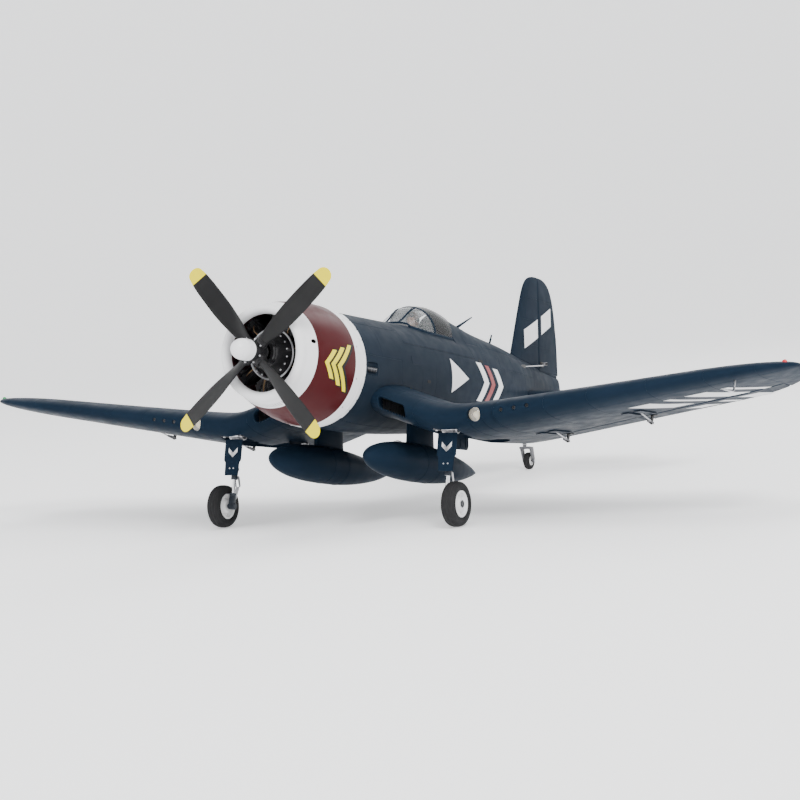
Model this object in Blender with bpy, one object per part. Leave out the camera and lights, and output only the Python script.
"""Radio-controlled gull-wing naval fighter with a 1.2 m span, standing on its wheels.

Everything is laid out in the airframe's own axes: the origin is the propeller hub on the thrust line,
+X is the port wing, +Y is aft and +Z is up. One empty, "attitude", then pitches the airframe nose-up
until the main wheels and the tail wheel stand on the ground, and centres it over the origin.
"""

import math

import bmesh
import bpy
from mathutils import Matrix, Vector

# Overall sizes, metres
HALF_SPAN = 0.600
GAP = 0.0004
SEGMENTS = 24

# Fuselage: (distance aft, half width, top, bottom)
FUSELAGE_STATIONS = (
    (0.1350, 0.0735, 0.0660, -0.0815),
    (0.1800, 0.0735, 0.0665, -0.0850),
    (0.2600, 0.0710, 0.0675, -0.0855),
    (0.3500, 0.0665, 0.0690, -0.0815),
    (0.4600, 0.0590, 0.0690, -0.0735),
    (0.5600, 0.0500, 0.0670, -0.0640),
    (0.6600, 0.0385, 0.0630, -0.0525),
    (0.7600, 0.0255, 0.0560, -0.0400),
    (0.8400, 0.0140, 0.0450, -0.0225),
    (0.8850, 0.0085, 0.0400, -0.0140),
    (0.8990, 0.0060, 0.0390, -0.0095),
)
FUSELAGE_SQUARENESS = 2.15
FUSELAGE_WALL = 0.0035
CAVITY_END = 0.690

# Where the fuselage's skin and its cavity take a cross-section: distance aft
SHELL_RINGS = (0.1350, 0.1600, 0.2000, 0.2500, 0.3000, 0.3600, 0.4100, 0.4559, 0.4561, 0.4800,
               0.5200, 0.5700, 0.6200, 0.6800, 0.7400, 0.8000, 0.8400, 0.8700, 0.8890, 0.8990)
CAVITY_RINGS = (0.1300, 0.1800, 0.2600, 0.3500, 0.4600, 0.5600, 0.6400, CAVITY_END)
# Raised spine behind the canopy: (distance aft, height above the deck)
SPINE_STATIONS = ((0.4560, 0.0290), (0.5000, 0.0215), (0.5600, 0.0125), (0.6600, 0.0065), (0.7400, 0.0))
SPINE_HALF_WIDTH = 0.040

# Removable hatch that carries the canopy and the cockpit
HATCH_FRONT = 0.2620
HATCH_REAR = 0.4940
HATCH_SILL = 0.0330
COCKPIT_FRONT = 0.3450
COCKPIT_REAR = 0.4480
COCKPIT_HALF_WIDTH = 0.0260
COCKPIT_FLOOR = 0.0420
# Canopy: (distance aft, half width, top)
WINDSCREEN_STATIONS = (
    (0.3375, 0.0275, 0.0712),
    (0.3500, 0.0309, 0.0786),
    (0.3630, 0.0336, 0.0882),
    (0.3760, 0.0352, 0.0962),
)
HOOD_STATIONS = (
    (0.3768, 0.0353, 0.0966),
    (0.3950, 0.0360, 0.1008),
    (0.4160, 0.0360, 0.1026),
    (0.4360, 0.0355, 0.1012),
    (0.4545, 0.0345, 0.0978),
)
CANOPY_THICKNESS = 0.0012
# Pilot, a turned bust: (height above the cockpit floor, radius)
PILOT_PROFILE = (
    (0.0, 0.0), (0.0, 0.0150), (0.0140, 0.0158), (0.0225, 0.0120), (0.0265, 0.0052), (0.0300, 0.0050),
    (0.0335, 0.0082), (0.0390, 0.0098), (0.0440, 0.0094), (0.0480, 0.0066), (0.0500, 0.0),
)
PILOT_Y = 0.4050

# Cowling: (distance aft, outer radius, height of its centre)
COWL_STATIONS = (
    (0.0105, 0.0500, 0.0),
    (0.0085, 0.0525, 0.0),
    (0.0105, 0.0560, 0.0),
    (0.0200, 0.0600, -0.0003),
    (0.0360, 0.0654, -0.0010),
    (0.0600, 0.0710, -0.0028),
    (0.0900, 0.0762, -0.0054),
    (0.1240, 0.0778, -0.0078),
    (0.1335, 0.0772, -0.0080),
)
COWL_WALL = 0.0018
COWL_MOUTH_RADIUS = 0.0468

# Propeller and motor
SPINNER_RADIUS = 0.0132
SPINNER_TIP = -0.0470
SPINNER_BASE = -0.0190
HUB_RADIUS = 0.0126
HUB_REAR = 0.0100
PROPELLER_RADIUS = 0.1400
BLADE_COUNT = 4
BLADE_PARKED = math.radians(3.9)
SHAFT_RADIUS = 0.0030
MOTOR_RADIUS = 0.0210
# Blade: (share of the radius, chord, pitch in degrees, thickness)
BLADE_STATIONS = (
    (0.094, 0.0130, 48, 0.0100),
    (0.16, 0.0150, 42, 0.0080),
    (0.30, 0.0200, 31, 0.0052),
    (0.48, 0.0240, 22, 0.0038),
    (0.66, 0.0245, 17, 0.0029),
    (0.82, 0.0235, 14, 0.0022),
    (0.93, 0.0200, 12, 0.0016),
    (0.98, 0.0140, 12, 0.0013),
    (1.00, 0.0070, 12, 0.0010),
)
BLADE_MIDDLE = -0.0045
ENGINE_CYLINDERS = 9
ENGINE_CORE = 0.0245
ENGINE_WAIST = 0.0340
# Dummy engine: (distance aft, radius of the cylinder heads, gap between heads as a share of their half)
ENGINE_STATIONS = (
    (0.0400, 0.0560, 0.30), (0.0440, 0.0610, 0.40), (0.0600, 0.0610, 0.40), (0.0640, 0.0560, 0.30),
)
# Turned pieces round the thrust line: (distance aft, radius)
MOUNT_PROFILE = (
    (0.1322, 0.0), (0.1322, 0.0240), (0.1400, 0.0240), (0.1400, 0.0655), (0.1440, 0.0655), (0.1440, 0.0),
)
MOUNT_DROP = 0.0078
STATOR_PROFILE = (
    (0.1020, 0.0), (0.1020, 0.0185), (0.1240, 0.0185), (0.1240, 0.0230), (0.1316, 0.0230), (0.1316, 0.0),
)
BELL_PROFILE = (
    (-0.0120, 0.0), (-0.0120, SHAFT_RADIUS), (0.0680, SHAFT_RADIUS), (0.0700, 0.0140), (0.0740, MOTOR_RADIUS),
    (0.1010, MOTOR_RADIUS), (0.1010, 0.0195), (0.1014, 0.0190), (0.1014, 0.0),
)

# Gull wing
BEND = 0.156
BEND_HEIGHT = -0.0742
BEND_SOFTNESS = 0.022
ANHEDRAL = math.radians(20.0)
DIHEDRAL = math.radians(7.3)
WING_LEADING = 0.1680
WING_TRAILING = 0.4260
LEADING_SWEEP = 0.0200
TRAILING_SWEEP = 0.0560
TIP_START = 0.470
TIP_POLE = 0.2420
TIP_FULLNESS = 2.3
ROOT_THICKNESS = 0.175
TIP_THICKNESS = 0.110
CAMBER = 0.020
ROOT_INCIDENCE = math.radians(4.2)
TIP_INCIDENCE = math.radians(2.8)
PANEL_JOINT = 0.2325
SADDLE = 0.0550

# Hinge lines of the wing: (inner x, its y, outer x, its y)
AILERON_LINE = (0.3580, 0.3530, 0.5560, 0.3190)
FLAP_LINE = (0.2380, 0.3730, 0.3530, 0.3540)
HINGE_CLEARANCE = 0.0008
END_CLEARANCE = 0.0010
# How far the ends of each surface lean in as they run aft, inner and outer, to clear the ends of their bays
AILERON_LEAN = (0.052, 0.042)
FLAP_LEAN = (0.0, 0.058)
AILERON_HORN = 0.3730
FLAP_HORN = 0.2475
HORN_REACH = 0.0180
PUSHROD_RUN = 0.0600
PUSHROD_SLOT = 0.0034
PUSHROD_RADIUS = 0.0009
# Horn: where its foot starts and ends behind the hinge, half the width of its tip, half its thickness
HORN_FOOT = (0.0010, 0.0110)
HORN_TIP = 0.0016
HORN_HALF = 0.0008
PUSHROD_ASIDE = HORN_HALF + PUSHROD_RADIUS + GAP
JOINER_RADIUS = 0.0040
JOINER_INNER = 0.2010
JOINER_OUTER = 0.3000
JOINER_Y = 0.2400
# Cooling intake in the wing root: inner and outer edge, top and bottom at the inner edge, depth
INTAKE = (0.0740, 0.1136, -0.0435, -0.0595, 0.0280)

# Tail
TAIL_HEIGHT = 0.0000
TAIL_HALF_SPAN = 0.2400
TAIL_LEADING = 0.7150
TAIL_TRAILING = 0.8740
TAIL_HINGE = 0.8030
TAIL_THICKNESS = 0.095
ELEVATOR_INNER = 0.0230
ELEVATOR_INNER_AFT = 0.0460
RUDDER_HINGE = 0.8190
RUDDER_ROOM_FRONT = 0.8080
# Fin and rudder outline: (height, leading edge, trailing edge, thickness)
FIN_STATIONS = (
    (0.0440, 0.7160, 0.9015, 0.0150),
    (0.0620, 0.7215, 0.9000, 0.0142),
    (0.0900, 0.7315, 0.8970, 0.0130),
    (0.1200, 0.7425, 0.8915, 0.0115),
    (0.1500, 0.7540, 0.8840, 0.0100),
    (0.1720, 0.7640, 0.8745, 0.0086),
    (0.1860, 0.7750, 0.8620, 0.0070),
    (0.1930, 0.7880, 0.8480, 0.0052),
    (0.1958, 0.8010, 0.8350, 0.0034),
)

# Drop tanks: (share of the length, share of the radius)
TANK_STATIONS = ((0.0, 0.06), (0.02, 0.30), (0.07, 0.58), (0.16, 0.83), (0.28, 0.97), (0.40, 1.0),
                 (0.55, 0.97), (0.70, 0.82), (0.84, 0.56), (0.94, 0.28), (1.0, 0.05))
TANK_X = 0.0705
TANK_NOSE = (0.1440, -0.1205)
TANK_TAIL = (0.4540, -0.1325)
TANK_RADIUS = 0.0252
# Tank pylon: (height, front, rear, half width)
PYLON_STATIONS = ((-0.1100, 0.2540, 0.3260, 0.0060), (-0.0700, 0.2560, 0.3240, 0.0050))

# Main gear, measured from the retract pivot with the leg hanging straight down
GEAR_X = 0.1610
GEAR_PIVOT_Y = 0.2035
GEAR_PIVOT_Z = -0.0850
LEG_RAKE = math.radians(8.0)
LEG_LENGTH = 0.0980
WHEEL_OFFSET = 0.0140
WHEEL_RADIUS = 0.0285
TYRE_WIDTH = 0.0190
RIM_RADIUS = 0.0168
AXLE_RADIUS = 0.0024
STRUT_RADIUS = 0.0045
STRUT_TOP = -0.0200
STRUT_BOTTOM = -0.0620
PISTON_RADIUS = 0.0026
STRUT_BORE = 0.0030
PISTON_TOP = -0.0420
COVER_FACE = -0.0086
COVER_THICKNESS = 0.0014
COVER_OUTLINE = (
    (-0.0135, -0.0085), (0.0135, -0.0085), (0.0135, -0.0370), (0.0105, -0.0400),
    (0.0105, -0.0575), (-0.0105, -0.0575), (-0.0105, -0.0400), (-0.0135, -0.0370),
)
# Retract unit: an arch of (x, z) round the pivot, and its front and rear
RETRACT_ARCH = (
    (-0.0165, -0.0040), (-0.0165, 0.0150), (0.0165, 0.0150), (0.0165, -0.0040),
    (0.0110, -0.0040), (0.0110, 0.0118), (-0.0110, 0.0118), (-0.0110, -0.0040),
)
RETRACT_FRONT = 0.1860
RETRACT_REAR = 0.2280
WELL_RADIUS = 0.0345
WELL_FORWARD = 0.0030
# The shallow recess behind the retract pocket that the cover closes into: front, rear, half width, top
COVER_RECESS = (0.2265, 0.2720, 0.0142, -0.0912)
WELL_TOP = -0.0625
LEG_RETRACTED = math.radians(95.0)

# Tail wheel
TAIL_WHEEL_Y = 0.7890
TAIL_WHEEL_Z = -0.1000
TAIL_WHEEL_RADIUS = 0.0135
TAIL_TYRE_WIDTH = 0.0100
TAIL_RIM_RADIUS = 0.0072
TAIL_AXLE_RADIUS = 0.0014
STEERING_Y = 0.7730
CROWN_Z = -0.0800
FORK_INNER = 0.0066
FORK_OUTER = 0.0095

# Colours
NAVY = (0.018, 0.030, 0.055, 1)
WHITE = (0.80, 0.80, 0.80, 1)
BLACK = (0.012, 0.012, 0.013, 1)
GREY = (0.16, 0.16, 0.17, 1)
STEEL = (0.55, 0.55, 0.56, 1)
SMOKE = (0.10, 0.11, 0.12, 1)
BLUE = (0.02, 0.09, 0.30, 1)
TAN = (0.42, 0.26, 0.14, 1)


def clear_scene():
    for obj in list(bpy.data.objects):
        bpy.data.objects.remove(obj)


def paint(name, colour, roughness, metallic=0.0):
    material = bpy.data.materials.new(name)
    material.use_nodes = True
    shader = material.node_tree.nodes["Principled BSDF"]
    shader.inputs["Base Color"].default_value = colour
    shader.inputs["Roughness"].default_value = roughness
    shader.inputs["Metallic"].default_value = metallic
    return material


def empty(name, location=(0, 0, 0), rotation=(0, 0, 0), parent=None):
    holder = bpy.data.objects.new(name, None)
    bpy.context.scene.collection.objects.link(holder)
    holder.location = location
    holder.rotation_euler = rotation
    holder.parent = parent
    return holder


def solid(name, mesh, material, parent, origin=(0, 0, 0), smooth=40):
    """The finished bmesh as an object whose origin lies at the given point."""
    bmesh.ops.remove_doubles(mesh, verts=mesh.verts, dist=1e-7)
    bmesh.ops.recalc_face_normals(mesh, faces=mesh.faces)
    bmesh.ops.translate(mesh, verts=mesh.verts, vec=-Vector(origin))
    data = bpy.data.meshes.new(name)
    mesh.to_mesh(data)
    mesh.free()
    data.shade_smooth()
    data.set_sharp_from_angle(angle=math.radians(smooth))
    data.materials.append(material)
    obj = bpy.data.objects.new(name, data)
    bpy.context.scene.collection.objects.link(obj)
    obj.location = origin
    obj.parent = parent
    return obj


def skin_mesh(rings, closed=False):
    """A skin through rings of points: capped at its ends, or closed from the last ring to the first."""
    mesh = bmesh.new()
    loops = [[mesh.verts.new(point) for point in ring] for ring in rings]
    pairs = list(zip(loops, loops[1:]))
    if closed:
        pairs.append((loops[-1], loops[0]))
    else:
        mesh.faces.new(loops[0])
        mesh.faces.new(loops[-1])
    for near, far in pairs:
        for index in range(len(near)):
            after = (index + 1) % len(near)
            mesh.faces.new((near[index], near[after], far[after], far[index]))
    return mesh


def skin(name, rings, material, parent, origin=(0, 0, 0), closed=False):
    return solid(name, skin_mesh(rings, closed), material, parent, origin)


def lathe(name, profile, axis, centre, material, parent, origin=(0, 0, 0), closed=False, steps=SEGMENTS):
    """A turned piece: profile holds (distance along the axis, radius); a closed profile is a ring."""
    along = Vector(axis).normalized()
    across = along.orthogonal().normalized()
    mesh = bmesh.new()
    points = [mesh.verts.new(Vector(centre) + along * run + across * radius) for run, radius in profile]
    edges = [mesh.edges.new(pair) for pair in zip(points, points[1:])]
    if closed:
        edges.append(mesh.edges.new((points[-1], points[0])))
    bmesh.ops.spin(
        mesh, geom=points + edges, cent=centre, axis=along, angle=math.tau, steps=steps, use_merge=True
    )
    return solid(name, mesh, material, parent, origin)


def rod_mesh(start, end, radius, sides=10, end_radius=None):
    """A straight round rod between two points."""
    start, end = Vector(start), Vector(end)
    run = end - start
    mesh = bmesh.new()
    bmesh.ops.create_cone(
        mesh,
        cap_ends=True,
        segments=sides,
        radius1=radius,
        radius2=radius if end_radius is None else end_radius,
        depth=run.length,
        matrix=Matrix.Translation((start + end) / 2) @ run.to_track_quat("Z", "Y").to_matrix().to_4x4(),
    )
    return mesh


def block_mesh(centre, size):
    mesh = bmesh.new()
    bmesh.ops.create_cube(mesh, size=1.0, matrix=Matrix.Translation(centre) @ Matrix.Diagonal((*size, 1)))
    return mesh


def prism_mesh(outline, low, high):
    """An upright prism over a plan outline of (x, y) points."""
    return skin_mesh([[(x, y, low) for x, y in outline], [(x, y, high) for x, y in outline]])


def helper(name, mesh, parent, origin=(0, 0, 0)):
    """A hidden solid that only serves a Boolean."""
    obj = solid(name, mesh, None, parent, origin)
    obj.hide_render = True
    obj.display_type = "WIRE"
    return obj


def boolean(obj, other, operation="DIFFERENCE"):
    modifier = obj.modifiers.new(f"{operation.lower()}_{other.name}", "BOOLEAN")
    modifier.object = other
    modifier.operation = operation
    modifier.solver = "EXACT"


def between(stations, where):
    """Values at a place along a list of stations, eased so that the outline has no corners."""
    if where <= stations[0][0]:
        return stations[0][1:]
    for index, (low, high) in enumerate(zip(stations, stations[1:])):
        if where > high[0]:
            continue
        before = stations[max(index - 1, 0)]
        beyond = stations[min(index + 2, len(stations) - 1)]
        width = high[0] - low[0]
        share = (where - low[0]) / width
        values = []
        for column in range(1, len(low)):
            slope_low = (high[column] - before[column]) / (high[0] - before[0]) * width
            slope_high = (beyond[column] - low[column]) / (beyond[0] - low[0]) * width
            square, cube = share**2, share**3
            values.append(
                low[column] * (2 * cube - 3 * square + 1)
                + slope_low * (cube - 2 * square + share)
                + high[column] * (3 * square - 2 * cube)
                + slope_high * (cube - square)
            )
        return tuple(values)
    return stations[-1][1:]


def fuselage_ring(y, inset=0.0, spine=True, sides=SEGMENTS):
    """The fuselage's cross-section at y, drawn in by the inset."""
    half_width, top, bottom = between(FUSELAGE_STATIONS, y)
    middle, half_height = (top + bottom) / 2, (top - bottom) / 2 - inset
    half_width -= inset
    hump = between(SPINE_STATIONS, y)[0] if spine and y >= SPINE_STATIONS[0][0] else 0.0
    power = 2 / FUSELAGE_SQUARENESS
    ring = []
    for index in range(sides):
        angle = math.tau * (index + 0.5) / sides
        x = half_width * math.copysign(abs(math.cos(angle)) ** power, math.cos(angle))
        z = middle + half_height * math.copysign(abs(math.sin(angle)) ** power, math.sin(angle))
        if z > middle:
            z += hump * max(0.0, 1 - (x / SPINE_HALF_WIDTH) ** 2) ** 1.5
        ring.append(Vector((x, y, z)))
    return ring


def deck_height(x, y):
    """The height of the fuselage's upper surface, without the raised spine."""
    half_width, top, bottom = between(FUSELAGE_STATIONS, y)
    share = 1 - (abs(x) / half_width) ** FUSELAGE_SQUARENESS
    return (top + bottom) / 2 + (top - bottom) / 2 * share ** (1 / FUSELAGE_SQUARENESS)


def half_thickness(share):
    """Half the thickness of a symmetrical section, as a share of its full thickness."""
    return 5 * (
        0.2969 * math.sqrt(share) - 0.1260 * share - 0.3516 * share**2 + 0.2843 * share**3 - 0.1015 * share**4
    )


class Section:
    """One chordwise section: leading and trailing edge, chord line height, thickness share, camber."""

    def __init__(self, leading, trailing, height, thickness, camber=0.0, incidence=0.0):
        self.leading = leading
        self.chord = trailing - leading
        self.height = height
        self.thickness = thickness
        self.camber = camber
        self.incidence = incidence

    def trailing_half(self):
        return 0.0007

    def middle(self, y):
        share = min(max((y - self.leading) / self.chord, 0), 1)
        bow = 4 * self.camber * self.chord * share * (1 - share)
        return self.height + bow - (y - self.leading) * math.tan(self.incidence)

    def half(self, y):
        share = min(max((y - self.leading) / self.chord, 0), 1)
        return self.thickness * self.chord * half_thickness(share) + self.trailing_half() * share

    def nose(self, end, count):
        """(y, height above the chord's middle) from the end over the top to the nose and back below."""
        shares = [0.5 * (1 + math.cos(math.pi * step / count)) for step in range(count + 1)]
        chords = [self.leading + share * (end - self.leading) for share in shares]
        upper = [(y, self.middle(y) + self.half(y)) for y in chords]
        lower = [(y, self.middle(y) - self.half(y)) for y in reversed(chords[:-1])]
        return upper + lower

    def flap(self, hinge_y, hinge_z, count=3):
        """(y, z) round a control surface whose nose is an arc about its hinge."""
        radius = self.half(hinge_y)
        end = self.leading + self.chord
        chords = [hinge_y + (end - hinge_y) * (step + 1) / count for step in range(count)]
        upper = [(y, self.middle(y) + self.half(y)) for y in chords]
        lower = [(y, self.middle(y) - self.half(y)) for y in reversed(chords)]
        arc = []
        for step in range(7):
            angle = -math.pi / 2 - math.pi * step / 6
            arc.append((hinge_y + radius * math.cos(angle), hinge_z + radius * math.sin(angle)))
        return upper + lower + arc


def rounded_tip(x, start, end, leading, trailing, pole):
    """The chord's ends drawn in towards the pole, as a fuller ellipse, beyond the start of the tip."""
    if x <= start:
        return leading, trailing
    share = min((x - start) / (end - start), 0.9995)
    width = (1 - share**TIP_FULLNESS) ** (1 / TIP_FULLNESS)
    return pole - (pole - leading) * width, pole + (trailing - pole) * width


def wing_height(x):
    """Height of the wing's leading edge: down from the root, a soft bend, then up to the tip."""
    run = max(x, SADDLE) - BEND
    mean = (math.tan(DIHEDRAL) - math.tan(ANHEDRAL)) / 2
    change = (math.tan(DIHEDRAL) + math.tan(ANHEDRAL)) / 2
    return BEND_HEIGHT + mean * run + change * (math.hypot(run, BEND_SOFTNESS) - BEND_SOFTNESS)


def wing_section(x, grow=0.0):
    share = max(0.0, (x - BEND) / (HALF_SPAN - BEND))
    leading = WING_LEADING + LEADING_SWEEP * share
    trailing = WING_TRAILING - TRAILING_SWEEP * share
    leading, trailing = rounded_tip(x, TIP_START, HALF_SPAN, leading, trailing, TIP_POLE)
    thickness = ROOT_THICKNESS + (TIP_THICKNESS - ROOT_THICKNESS) * share
    incidence = ROOT_INCIDENCE + (TIP_INCIDENCE - ROOT_INCIDENCE) * share
    section = Section(leading - grow, trailing + grow, wing_height(x), thickness, CAMBER, incidence)
    section.thickness += 2 * grow / section.chord
    return section


def wing_ring(x, side, grow=0.0):
    section = wing_section(x, grow)
    return [Vector((side * x, y, z)) for y, z in section.nose(section.leading + section.chord, 8)]


def on_line(line, x):
    """y at x along a hinge line."""
    inner_x, inner_y, outer_x, outer_y = line
    return inner_y + (outer_y - inner_y) * (x - inner_x) / (outer_x - inner_x)


def hinge_point(line, x, side):
    """The hinge axis at x: straight between the mid-thickness points at its two ends."""
    inner_x, inner_y, outer_x, outer_y = line
    inner_z = wing_section(inner_x).middle(inner_y)
    outer_z = wing_section(outer_x).middle(outer_y)
    share = (x - inner_x) / (outer_x - inner_x)
    return Vector((side * x, on_line(line, x), inner_z + (outer_z - inner_z) * share))


def bay_mesh(line, side):
    """What a control surface's bay takes out of the wing."""
    inner_x, _, outer_x, _ = line
    front = []
    for step in range(6):
        x = inner_x - END_CLEARANCE + (outer_x - inner_x + 2 * END_CLEARANCE) * step / 5
        y = on_line(line, x)
        front.append((x, y - wing_section(x).half(y) - HINGE_CLEARANCE))
    outline = front + [(front[-1][0], WING_TRAILING + 0.02), (front[0][0], WING_TRAILING + 0.02)]
    return prism_mesh([(side * x, y) for x, y in outline], -0.2, 0.2)


def horn_outline(hinge, pin):
    """A horn's four corners in its own plane: a wide foot behind the hinge, and a narrow tip round the pin."""
    foot_start, foot_end = HORN_FOOT
    return [
        (hinge[0] + foot_start, hinge[1] - 0.001),
        (hinge[0] + foot_end, hinge[1] - 0.001),
        (pin[0] + HORN_TIP, pin[1] - HORN_TIP),
        (pin[0] - HORN_TIP, pin[1] - HORN_TIP),
    ]


def horn_pin(line, x, side):
    """Where the pushrod's pin goes through the horn."""
    return hinge_point(line, x, side) + Vector((0, 0.0015, -HORN_REACH))


def horn_mesh(line, x, side):
    """A flat horn that hangs from the control surface."""
    hinge = hinge_point(line, x, side)
    pin = horn_pin(line, x, side)
    outline = horn_outline((hinge.y, hinge.z), (pin.y, pin.z))
    faces = (x - HORN_HALF, x + HORN_HALF)
    return skin_mesh([[(side * face, y, z) for y, z in outline] for face in faces])


def make_control(name, line, lean, horn_x, side, material, parent):
    inner_x, _, outer_x, _ = line
    origin = hinge_point(line, inner_x, side)
    rings = []
    for step in range(6):
        x = inner_x + (outer_x - inner_x) * step / 5
        hinge = hinge_point(line, x, side)
        slope = lean[0] if step == 0 else -lean[1] if step == 5 else 0.0
        points = wing_section(x).flap(hinge.y, hinge.z)
        rings.append([(side * (x + slope * max(y - hinge.y, 0)), y, z) for y, z in points])
    control = skin(name, rings, material, parent, origin)
    boolean(control, helper(f"{name}_horn", horn_mesh(line, horn_x, side), parent), "UNION")
    return control


def make_pushrod(name, pin, front, side, material, parent):
    """A wire pushrod beside its horn, from the pin forward to its servo."""
    beside = Vector((side * PUSHROD_ASIDE, 0, 0))
    return solid(name, rod_mesh(pin + beside, front + beside, PUSHROD_RADIUS, 8), material, parent, pin)


def make_fuselage(paints, parent):
    shell = skin("fuselage", [fuselage_ring(y) for y in SHELL_RINGS], paints["navy"], parent)
    cavity = [fuselage_ring(y, FUSELAGE_WALL, False) for y in CAVITY_RINGS]
    boolean(shell, helper("fuselage_cavity", skin_mesh(cavity), parent))
    middle = (HATCH_FRONT + HATCH_REAR) / 2
    length = HATCH_REAR - HATCH_FRONT
    hatch_room = block_mesh((0, middle, HATCH_SILL + 0.06), (0.2, length, 0.12))
    boolean(shell, helper("hatch_room", hatch_room, parent))
    return shell


def make_hatch(paints, parent):
    front, rear = HATCH_FRONT + GAP, HATCH_REAR - GAP
    stations = [front, 0.30, 0.34, 0.38, 0.42, 0.4559, 0.4561, 0.475, rear]
    hatch = skin("canopy_hatch", [fuselage_ring(y) for y in stations], paints["navy"], parent)
    below = block_mesh((0, 0.4, HATCH_SILL + GAP - 0.10), (0.3, 0.4, 0.20))
    boolean(hatch, helper("below_hatch", below, parent))
    middle = (COCKPIT_FRONT + COCKPIT_REAR) / 2
    cockpit = block_mesh(
        (0, middle, COCKPIT_FLOOR + 0.04), (2 * COCKPIT_HALF_WIDTH, COCKPIT_REAR - COCKPIT_FRONT, 0.08)
    )
    boolean(hatch, helper("cockpit_room", cockpit, parent))
    return hatch


def canopy_ring(y, half_width, top):
    """A thin arch over the deck: the outer arc, then the inner arc back."""
    base = deck_height(half_width - CANOPY_THICKNESS, y) + 2 * GAP
    ring = []
    for shrink, order in ((0.0, 1), (CANOPY_THICKNESS, -1)):
        arc = []
        for step in range(13):
            angle = math.pi * step / 12
            x = (half_width - shrink) * math.cos(angle)
            z = base + (top - shrink - base) * math.sin(angle) ** 0.85
            arc.append((x, y, z))
        ring += arc[::order]
    return ring


def make_canopy(name, stations, material, parent):
    return skin(name, [canopy_ring(*station) for station in stations], material, parent)


def make_pilot(paints, parent):
    seat = (0, PILOT_Y, COCKPIT_FLOOR + GAP)
    return lathe("pilot", PILOT_PROFILE, (0, 0, 1), seat, paints["tan"], parent, seat, steps=14)


def make_cowling(paints, parent):
    outer = list(COWL_STATIONS)
    inner = [(y, radius - COWL_WALL, z) for y, radius, z in reversed(outer[4:])]
    inner += [
        (0.0220, 0.0585, -0.0015),
        (0.0200, COWL_MOUTH_RADIUS + 0.0015, 0.0),
        (0.0140, COWL_MOUTH_RADIUS, 0.0),
    ]
    rings = []
    for y, radius, height in outer + inner:
        turn = [math.tau * step / 32 for step in range(32)]
        rings.append([(radius * math.cos(angle), y, height + radius * math.sin(angle)) for angle in turn])
    return skin("cowling", rings, paints["white"], parent, closed=True)


def make_engine(paints, parent):
    """A ring of cylinder heads round an open middle, which the motor's shaft goes through."""
    half = math.pi / ENGINE_CYLINDERS
    rings = []
    for y, outer, gap in ENGINE_STATIONS:
        head = (
            (gap - 1.0, ENGINE_WAIST),
            (-0.62, outer * 0.96),
            (0.0, outer),
            (0.62, outer * 0.96),
            (1.0 - gap, ENGINE_WAIST),
        )
        outline = []
        for index in range(ENGINE_CYLINDERS):
            middle = math.tau * (index + 0.25) / ENGINE_CYLINDERS
            for turn, radius in head:
                angle = middle + half * turn
                outline.append((radius * math.cos(angle), y, radius * math.sin(angle)))
        rings.append(outline)
    angles = [math.atan2(z, x) for x, _, z in rings[0]]
    for y in (ENGINE_STATIONS[-1][0], ENGINE_STATIONS[0][0]):
        rings.append([(ENGINE_CORE * math.cos(angle), y, ENGINE_CORE * math.sin(angle)) for angle in angles])
    return skin("dummy_engine", rings, paints["black"], parent, closed=True)


def make_power(paints, parent):
    """The motor on its firewall, and what turns with its shaft."""
    aft = (0, 1, 0)
    centre = (0, 0, 0)
    lathe("motor_mount", MOUNT_PROFILE, aft, (0, 0, -MOUNT_DROP), paints["grey"], parent)
    lathe("motor_stator", STATOR_PROFILE, aft, centre, paints["steel"], parent)
    lathe("motor_bell", BELL_PROFILE, aft, centre, paints["black"], parent)
    bore = SHAFT_RADIUS + GAP
    hub = (
        (SPINNER_BASE + GAP, bore),
        (SPINNER_BASE + GAP, HUB_RADIUS - 0.0008),
        (SPINNER_BASE + 0.0030, HUB_RADIUS),
        (HUB_REAR - 0.0020, HUB_RADIUS),
        (HUB_REAR, HUB_RADIUS - 0.0020),
        (HUB_REAR, bore),
    )
    lathe("propeller_hub", hub, aft, centre, paints["black"], parent, closed=True)
    length = SPINNER_BASE - SPINNER_TIP
    dome = [(SPINNER_BASE, 0.0), (SPINNER_BASE, SPINNER_RADIUS)]
    for step in range(6):
        angle = math.pi / 2 * step / 5
        run = 0.35 + 0.65 * math.sin(angle)
        dome.append((SPINNER_BASE - run * length, SPINNER_RADIUS * math.cos(angle)))
    lathe("spinner", dome, aft, centre, paints["white"], parent)
    for index in range(BLADE_COUNT):
        make_blade(index, paints["black"], parent)


def make_blade(index, material, parent):
    """One blade: a twisted, tapering section, thickest at the root."""
    turn = Matrix.Rotation(math.tau * (index + 0.5) / BLADE_COUNT + BLADE_PARKED, 4, "Y")
    rings = []
    for share, chord, pitch, thickness in BLADE_STATIONS:
        angle = math.radians(pitch)
        ring = []
        for step in range(10):
            around = math.tau * step / 10
            along = chord / 2 * math.cos(around)
            across = thickness / 2 * math.sin(around)
            sideways = along * math.cos(angle) - across * math.sin(angle)
            fore_aft = along * math.sin(angle) + across * math.cos(angle)
            ring.append(turn @ Vector((sideways, BLADE_MIDDLE + fore_aft, share * PROPELLER_RADIUS)))
        rings.append(ring)
    return skin(f"propeller_blade_{index + 1}", rings, material, parent)


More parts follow.
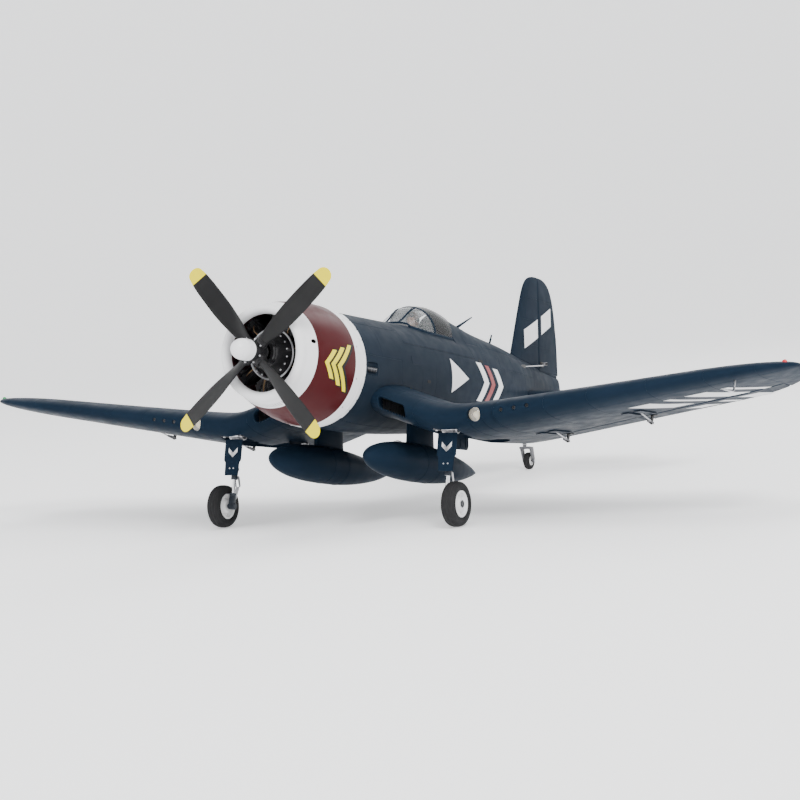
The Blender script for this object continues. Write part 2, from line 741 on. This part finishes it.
def make_equipment(paints, parent):
    boxes = (
        ("battery", (0, 0.2450, 0.0050), (0.0360, 0.1150, 0.0260), "blue"),
        ("speed_controller", (0, 0.1550, -0.0300), (0.0280, 0.0110, 0.0480), "black"),
        ("receiver", (0, 0.3600, 0.0000), (0.0240, 0.0380, 0.0130), "grey"),
        ("tail_servo", (0, 0.4600, -0.0300), (0.0230, 0.0240, 0.0260), "black"),
    )
    for name, centre, size, colour in boxes:
        piece = solid(name, block_mesh(centre, size), paints[colour], parent)
        edge = piece.modifiers.new("rounded_edges", "BEVEL")
        edge.width = 0.0015
        edge.segments = 1


def make_wing(paints, parent, shell):
    """The centre section, which the fuselage sits on, and the two outer panels."""
    half = [SADDLE, 0.0850, 0.1100, 0.1320, 0.1500, 0.1680, 0.1900, 0.2110, PANEL_JOINT]
    rings = [wing_ring(x, -1) for x in reversed(half)] + [wing_ring(x, 1) for x in half]
    centre = skin("wing_center", rings, paints["navy"], parent)
    half = (SADDLE, 0.0850, 0.1100)
    rings = [wing_ring(x, -1, GAP) for x in reversed(half)] + [wing_ring(x, 1, GAP) for x in half]
    boolean(shell, helper("wing_saddle", skin_mesh(rings), parent))
    for side, name in ((1, "port"), (-1, "starboard")):
        cut_centre_section(centre, side, name, parent)
        make_outer_panel(side, name, paints, parent)
    return centre


def cut_centre_section(centre, side, name, parent):
    """The cooling intake, the wheel well, the leg's trough and the wing joiner's bore."""
    inner, outer, top, bottom, depth = INTAKE
    slope = math.tan(ANHEDRAL) * (outer - inner)
    rings = []
    for y in (WING_LEADING - 0.02, WING_LEADING + depth):
        corners = ((inner, top), (outer, top - slope), (outer, bottom - slope), (inner, bottom))
        rings.append([(side * x, y, z) for x, z in corners])
    boolean(centre, helper(f"{name}_intake_room", skin_mesh(rings), parent))
    wheel_y = GEAR_PIVOT_Y + LEG_LENGTH * math.sin(LEG_RETRACTED - LEG_RAKE) - WELL_FORWARD
    x = side * GEAR_X
    well = rod_mesh((x, wheel_y, -0.14), (x, wheel_y, WELL_TOP), WELL_RADIUS, 28)
    boolean(centre, helper(f"{name}_wheel_well", well, parent))
    trough = block_mesh((x, 0.2350, -0.1050), (0.0190, 0.1000, 0.0620))
    boolean(centre, helper(f"{name}_leg_trough", trough, parent))
    pocket = block_mesh((x, 0.2070, -0.1040), (0.0350, 0.0460, 0.0680))
    boolean(centre, helper(f"{name}_retract_pocket", pocket, parent))
    front, rear, half_width, top = COVER_RECESS
    recess = block_mesh((x, (front + rear) / 2, top - 0.02), (2 * half_width, rear - front, 0.04))
    boolean(centre, helper(f"{name}_cover_recess", recess, parent))
    start, end = joiner_ends(side)
    bore = rod_mesh(start, end, JOINER_RADIUS + GAP, 12)
    boolean(centre, helper(f"{name}_joiner_bore", bore, parent))


def joiner_ends(side):
    """The wing joiner's two ends, inside the thickest part of the wing."""
    ends = (JOINER_INNER, JOINER_OUTER)
    return [Vector((side * x, JOINER_Y, wing_section(x).middle(JOINER_Y))) for x in ends]


def make_outer_panel(side, name, paints, parent):
    stations = [PANEL_JOINT + GAP, 0.27, 0.32, 0.38, 0.43, 0.48, 0.52, 0.55, 0.575, 0.59, 0.5970, 0.5998]
    panel = skin(f"{name}_wing_panel", [wing_ring(x, side) for x in stations], paints["navy"], parent)
    start, end = joiner_ends(side)
    run = (end - start).normalized() * 0.001
    bore = rod_mesh(start - run, end + run, JOINER_RADIUS + GAP, 12)
    boolean(panel, helper(f"{name}_panel_bore", bore, parent))
    solid(f"{name}_wing_joiner", rod_mesh(start + run, end, JOINER_RADIUS, 12), paints["black"], parent)
    controls = (
        ("aileron", AILERON_LINE, AILERON_LEAN, AILERON_HORN),
        ("flap", FLAP_LINE, FLAP_LEAN, FLAP_HORN),
    )
    for part, line, lean, horn_x in controls:
        boolean(panel, helper(f"{name}_{part}_bay", bay_mesh(line, side), parent))
        make_control(f"{name}_{part}", line, lean, horn_x, side, paints["navy"], parent)
        pin = horn_pin(line, horn_x, side)
        section = wing_section(horn_x)
        front_y = pin.y - PUSHROD_RUN
        skin_z = section.middle(front_y) - section.half(front_y)
        front = Vector((pin.x, front_y, skin_z + 0.0050))
        make_pushrod(f"{name}_{part}_pushrod", pin, front, side, paints["steel"], parent)
        middle = (side * (horn_x + PUSHROD_ASIDE), front_y + 0.0105, skin_z - 0.0030)
        slot = block_mesh(middle, (2 * PUSHROD_SLOT, 0.0490, 0.0340))
        boolean(panel, helper(f"{name}_{part}_slot", slot, parent))


def tail_section(x, grow=0.0):
    share = x / TAIL_HALF_SPAN
    leading, trailing = TAIL_LEADING + 0.030 * share, TAIL_TRAILING - 0.018 * share
    leading, trailing = rounded_tip(x, 0.185, TAIL_HALF_SPAN, leading, trailing, TAIL_HINGE)
    section = Section(leading - grow, trailing + grow, TAIL_HEIGHT, TAIL_THICKNESS)
    section.thickness += 2 * grow / section.chord
    return section


def tail_ring(x, side, grow=0.0):
    section = tail_section(x, grow)
    end = TAIL_HINGE - section.half(TAIL_HINGE) - HINGE_CLEARANCE + 2 * grow
    return [(side * x, y, z) for y, z in section.nose(end, 6)]


def make_tail(paints, parent, shell):
    half = [0.004, 0.06, 0.12, 0.18, 0.205, 0.222, 0.2330]
    rings = [tail_ring(x, -1) for x in reversed(half)] + [tail_ring(x, 1) for x in half]
    skin("tailplane", rings, paints["navy"], parent)
    rings = [tail_ring(x, -1, GAP) for x in (0.06, 0.004)] + [tail_ring(x, 1, GAP) for x in (0.004, 0.06)]
    boolean(shell, helper("tailplane_slot", skin_mesh(rings), parent))
    for side, name in ((1, "port"), (-1, "starboard")):
        make_elevator(side, name, paints, parent)
    make_fin_and_rudder(paints, parent, shell)


def make_elevator(side, name, paints, parent):
    origin = (side * ELEVATOR_INNER, TAIL_HINGE, TAIL_HEIGHT)
    rings = []
    for x in (ELEVATOR_INNER, 0.06, 0.12, 0.18, 0.205, 0.222, 0.2350):
        points = tail_section(x).flap(TAIL_HINGE, TAIL_HEIGHT)
        lean = (ELEVATOR_INNER_AFT - ELEVATOR_INNER) / (TAIL_TRAILING - TAIL_HINGE)
        shift = lean if x == ELEVATOR_INNER else 0.0
        rings.append([(side * (x + shift * max(y - TAIL_HINGE, 0)), y, z) for y, z in points])
    elevator = skin(f"{name}_elevator", rings, paints["navy"], parent, origin)
    if side < 0:
        pin = elevator_pin()
        outline = horn_outline((TAIL_HINGE, TAIL_HEIGHT), (pin.y, pin.z))
        horn = skin_mesh([[(pin.x + shift, y, z) for y, z in outline] for shift in (-HORN_HALF, HORN_HALF)])
        boolean(elevator, helper("elevator_horn", horn, parent), "UNION")


def make_tail_pushrod(name, pin, beside, run, parent, paints, shell):
    """A wire pushrod from its horn's pin forward into the fuselage, and the hole that it goes in by."""
    start, front = pin + beside, pin + run
    solid(f"{name}_pushrod", rod_mesh(start, front, PUSHROD_RADIUS, 8), paints["steel"], parent, pin)
    inside = (front - start).normalized() * 0.012
    hole = rod_mesh(start + (front - start) * 0.45, front + inside, PUSHROD_SLOT, 10)
    boolean(shell, helper(f"{name}_rod_exit", hole, parent))


def elevator_pin():
    return Vector((-0.0290, TAIL_HINGE + 0.0015, TAIL_HEIGHT - 0.0170))


def rudder_pin():
    return Vector((0.0170, RUDDER_HINGE + 0.0010, 0.0560))


def fin_section(height):
    leading, trailing, thickness = between(FIN_STATIONS, height)
    return Section(leading, trailing, 0.0, thickness / (trailing - leading))


def make_fin_and_rudder(paints, parent, shell):
    heights = [station[0] for station in FIN_STATIONS]
    fin_rings, rudder_rings = [], []
    for z in heights:
        section = fin_section(z)
        end = RUDDER_HINGE - section.half(RUDDER_HINGE) - HINGE_CLEARANCE
        fin_rings.append([(x, y, z) for y, x in section.nose(end, 6)])
        rudder_rings.append([(x, y, z) for y, x in section.flap(RUDDER_HINGE, 0.0)])
    fin = skin("fin", fin_rings, paints["navy"], parent)
    crown = [fuselage_ring(y, -GAP) for y in (0.69, 0.72, 0.76, 0.80, 0.84)]
    boolean(fin, helper("fin_root_cut", skin_mesh(crown), parent))
    origin = (0, RUDDER_HINGE, heights[0])
    rudder = skin("rudder", rudder_rings, paints["navy"], parent, origin)
    pin = rudder_pin()
    outline = horn_outline((RUDDER_HINGE, 0.0), (pin.y, -pin.x))
    faces = (pin.z - HORN_HALF, pin.z + HORN_HALF)
    horn = skin_mesh([[(-across, y, face) for y, across in outline] for face in faces])
    boolean(rudder, helper("rudder_horn", horn, parent), "UNION")
    beside, run = Vector((0, 0, -PUSHROD_ASIDE)), Vector((0.0075, -0.1450, -0.0180))
    make_tail_pushrod("rudder", pin, beside, run, parent, paints, shell)
    beside, run = Vector((-PUSHROD_ASIDE, 0, 0)), Vector((-0.0060, -0.1300, 0.0100))
    make_tail_pushrod("elevator", elevator_pin(), beside, run, parent, paints, shell)
    rear = FUSELAGE_STATIONS[-1][0] + 0.012
    middle = (0, (RUDDER_ROOM_FRONT + rear) / 2, heights[0] - 2 * GAP + 0.03)
    room = block_mesh(middle, (0.05, rear - RUDDER_ROOM_FRONT, 0.06))
    boolean(shell, helper("rudder_room", room, parent))


def make_tank(side, name, paints, parent):
    nose = Vector((side * TANK_X, *TANK_NOSE))
    tail = Vector((side * TANK_X, *TANK_TAIL))
    length = (tail - nose).length
    body = [(share * length, radius * TANK_RADIUS) for share, radius in TANK_STATIONS]
    profile = [(0.0, 0.0)] + body + [(length, 0.0)]
    tank = lathe(f"{name}_drop_tank", profile, tail - nose, nose, paints["navy"], parent, steps=20)
    rings = []
    for z, front, rear, half_width in PYLON_STATIONS:
        outline = (
            (0, front),
            (half_width, front + 0.02),
            (half_width, rear - 0.03),
            (0, rear),
            (-half_width, rear - 0.03),
            (-half_width, front + 0.02),
        )
        rings.append([(side * TANK_X + x, y, z) for x, y in outline])
    pylon = helper(f"{name}_pylon", skin_mesh(rings), parent)
    wing = [wing_ring(x, side, GAP) for x in (0.0560, 0.0705, 0.0850)]
    boolean(pylon, helper(f"{name}_pylon_trim", skin_mesh(wing), parent))
    boolean(tank, pylon, "UNION")


def make_main_gear(side, name, paints, parent):
    pivot = Vector((side * GEAR_X, GEAR_PIVOT_Y, GEAR_PIVOT_Z))
    ends = (RETRACT_FRONT, RETRACT_REAR)
    rings = [[(pivot.x + x, y, pivot.z + z) for x, z in RETRACT_ARCH] for y in ends]
    skin(f"{name}_retract_unit", rings, paints["grey"], parent)
    leg = empty(f"{name}_leg", pivot, (-LEG_RAKE, 0, 0), parent)
    barrel = rod_mesh((-0.0105, 0, 0), (0.0105, 0, 0), 0.0082, 16)
    trunnion = solid(f"{name}_trunnion", barrel, paints["steel"], leg)
    socket = rod_mesh((0, 0, 0), (0, 0, STRUT_TOP + GAP), 0.0064, 14)
    boolean(trunnion, helper(f"{name}_trunnion_socket", socket, leg), "UNION")
    faces = (COVER_FACE, COVER_FACE + COVER_THICKNESS)
    skin(f"{name}_gear_cover", [[(x, y, z) for x, z in COVER_OUTLINE] for y in faces], paints["navy"], leg)
    tube = (
        (STRUT_TOP, 0.0),
        (STRUT_TOP, STRUT_RADIUS),
        (STRUT_BOTTOM, STRUT_RADIUS),
        (STRUT_BOTTOM, STRUT_BORE),
        (PISTON_TOP + 0.0090, STRUT_BORE),
        (PISTON_TOP + 0.0090, 0.0),
    )
    lathe(f"{name}_strut", tube, (0, 0, 1), (0, 0, 0), paints["navy"], leg, steps=16)
    piston = rod_mesh((0, 0, PISTON_TOP), (0, 0, -0.0900), PISTON_RADIUS, 12)
    axle_leg = solid(f"{name}_axle_leg", piston, paints["steel"], leg)
    knuckle = block_mesh((0, 0, -LEG_LENGTH + 0.0045), (0.0070, 0.0080, 0.0180))
    boolean(axle_leg, helper(f"{name}_knuckle", knuckle, leg), "UNION")
    axle = rod_mesh((0, 0, -LEG_LENGTH), (side * (WHEEL_OFFSET + 0.0080), 0, -LEG_LENGTH), AXLE_RADIUS, 12)
    boolean(axle_leg, helper(f"{name}_axle", axle, leg), "UNION")
    wheel = Vector((side * WHEEL_OFFSET, 0, -LEG_LENGTH))
    sizes = (WHEEL_RADIUS, RIM_RADIUS, TYRE_WIDTH, AXLE_RADIUS + GAP)
    make_wheel(name, wheel, side, sizes, paints, leg, 28)


def make_wheel(name, centre, side, sizes, paints, parent, steps):
    """A dished hub and its tyre; sizes holds the wheel's radius, the rim's, the tyre's width and the bore."""
    radius, rim, width, bore = sizes
    half = width / 2
    hub = (
        (-0.78 * half, bore),
        (-0.78 * half, 0.45 * rim),
        (-0.55 * half, 0.55 * rim),
        (-0.55 * half, 0.80 * rim),
        (-0.86 * half, 0.86 * rim),
        (-0.86 * half, rim),
        (0.86 * half, rim),
        (0.86 * half, 0.86 * rim),
        (0.55 * half, 0.80 * rim),
        (0.55 * half, 0.55 * rim),
        (0.86 * half, 0.45 * rim),
        (0.86 * half, bore),
    )
    outward = (side, 0, 0)
    lathe(
        f"{name}_wheel_hub", hub, outward, centre, paints["white"], parent, centre,
        closed=True, steps=steps - 8,
    )
    bead, wall = rim + GAP, radius - rim
    tyre = [(-0.80 * half, bead)]
    for step in range(9):
        angle = math.pi * (1 - step / 8)
        spread = math.copysign(abs(math.cos(angle)) ** 0.7, math.cos(angle))
        tyre.append((half * spread, rim + 0.30 * wall + 0.70 * wall * math.sin(angle) ** 0.7))
    tyre.append((0.80 * half, bead))
    lathe(f"{name}_tyre", tyre, outward, centre, paints["rubber"], parent, centre, closed=True, steps=steps)


def make_tail_gear(paints, parent, shell):
    steering = (0, STEERING_Y, TAIL_WHEEL_Z)
    post = rod_mesh((0, STEERING_Y, -0.0300), (0, STEERING_Y, CROWN_Z), 0.0027, 12)
    strut = solid("tail_strut", post, paints["grey"], parent, steering)
    crown_y = (STEERING_Y + TAIL_WHEEL_Y) / 2 - 0.002
    crown = block_mesh((0, crown_y, CROWN_Z), (2 * FORK_OUTER, 0.0140, 0.0036))
    boolean(strut, helper("tail_crown", crown, parent), "UNION")
    outline = (
        (crown_y + 0.0065, CROWN_Z + 0.0010),
        (crown_y - 0.0050, CROWN_Z + 0.0010),
        (TAIL_WHEEL_Y - 0.0035, TAIL_WHEEL_Z - 0.0035),
        (TAIL_WHEEL_Y + 0.0035, TAIL_WHEEL_Z - 0.0035),
    )
    for side in (1, -1):
        rings = [[(side * x, y, z) for y, z in outline] for x in (FORK_INNER, FORK_OUTER)]
        boolean(strut, helper(f"tail_fork_arm_{side}", skin_mesh(rings), parent), "UNION")
    centre = Vector((0, TAIL_WHEEL_Y, TAIL_WHEEL_Z))
    reach = Vector((0.0080, 0, 0))
    axle = rod_mesh(centre - reach, centre + reach, TAIL_AXLE_RADIUS, 10)
    boolean(strut, helper("tail_axle", axle, parent), "UNION")
    bore = rod_mesh((0, STEERING_Y, -0.0280), (0, STEERING_Y, -0.0700), 0.0035, 12)
    boolean(shell, helper("tail_strut_bore", bore, parent))
    sizes = (TAIL_WHEEL_RADIUS, TAIL_RIM_RADIUS, TAIL_TYRE_WIDTH, TAIL_AXLE_RADIUS + GAP)
    make_wheel("tail", centre, 1, sizes, paints, parent, 20)


def make_antenna(paints, parent):
    base, top = Vector((0, 0.5380, 0.0865)), Vector((0, 0.5860, 0.1065))
    mast = solid("antenna_mast", rod_mesh(base, top, 0.0022, 8, 0.0008), paints["navy"], parent)
    crown = [fuselage_ring(y, -GAP) for y in (0.50, 0.52, 0.54, 0.57, 0.62)]
    boolean(mast, helper("antenna_root_cut", skin_mesh(crown), parent))


def stand_on_ground(attitude):
    """Pitch until both wheels touch, then put the lowest point at z = 0 over the middle of the box."""
    main_y = GEAR_PIVOT_Y - LEG_LENGTH * math.sin(LEG_RAKE)
    main_z = GEAR_PIVOT_Z - LEG_LENGTH * math.cos(LEG_RAKE)
    run, rise = TAIL_WHEEL_Y - main_y, TAIL_WHEEL_Z - main_z
    pitch = math.atan2(rise, run) + math.asin((WHEEL_RADIUS - TAIL_WHEEL_RADIUS) / math.hypot(run, rise))
    attitude.rotation_euler = (-pitch, 0, 0)
    bpy.context.view_layer.update()
    graph = bpy.context.evaluated_depsgraph_get()
    points = []
    for obj in bpy.context.scene.collection.objects:
        if obj.type == "MESH" and not obj.hide_render:
            shape = obj.evaluated_get(graph)
            points += [shape.matrix_world @ vertex.co for vertex in shape.data.vertices]
    depths = [point.y for point in points]
    attitude.location = (0, -(min(depths) + max(depths)) / 2, -min(point.z for point in points))
    bpy.context.view_layer.update()


def main():
    clear_scene()
    paints = {
        "navy": paint("navy_paint", NAVY, 0.38),
        "white": paint("white_paint", WHITE, 0.35),
        "black": paint("black_plastic", BLACK, 0.45),
        "grey": paint("grey_plastic", GREY, 0.50),
        "steel": paint("steel", STEEL, 0.30, 1.0),
        "smoke": paint("smoked_glazing", SMOKE, 0.10),
        "clear": paint("clear_glazing", STEEL, 0.08),
        "rubber": paint("rubber", BLACK, 0.85),
        "blue": paint("blue_sleeve", BLUE, 0.40),
        "tan": paint("tan_paint", TAN, 0.60),
    }
    attitude = empty("attitude")
    shell = make_fuselage(paints, attitude)
    make_hatch(paints, attitude)
    make_canopy("windscreen", WINDSCREEN_STATIONS, paints["clear"], attitude)
    make_canopy("canopy_hood", HOOD_STATIONS, paints["smoke"], attitude)
    make_pilot(paints, attitude)
    make_antenna(paints, attitude)
    make_cowling(paints, attitude)
    make_engine(paints, attitude)
    make_power(paints, attitude)
    make_equipment(paints, attitude)
    make_wing(paints, attitude, shell)
    make_tail(paints, attitude, shell)
    for side, name in ((1, "port"), (-1, "starboard")):
        make_tank(side, name, paints, attitude)
        make_main_gear(side, name, paints, attitude)
    make_tail_gear(paints, attitude, shell)
    stand_on_ground(attitude)


main()
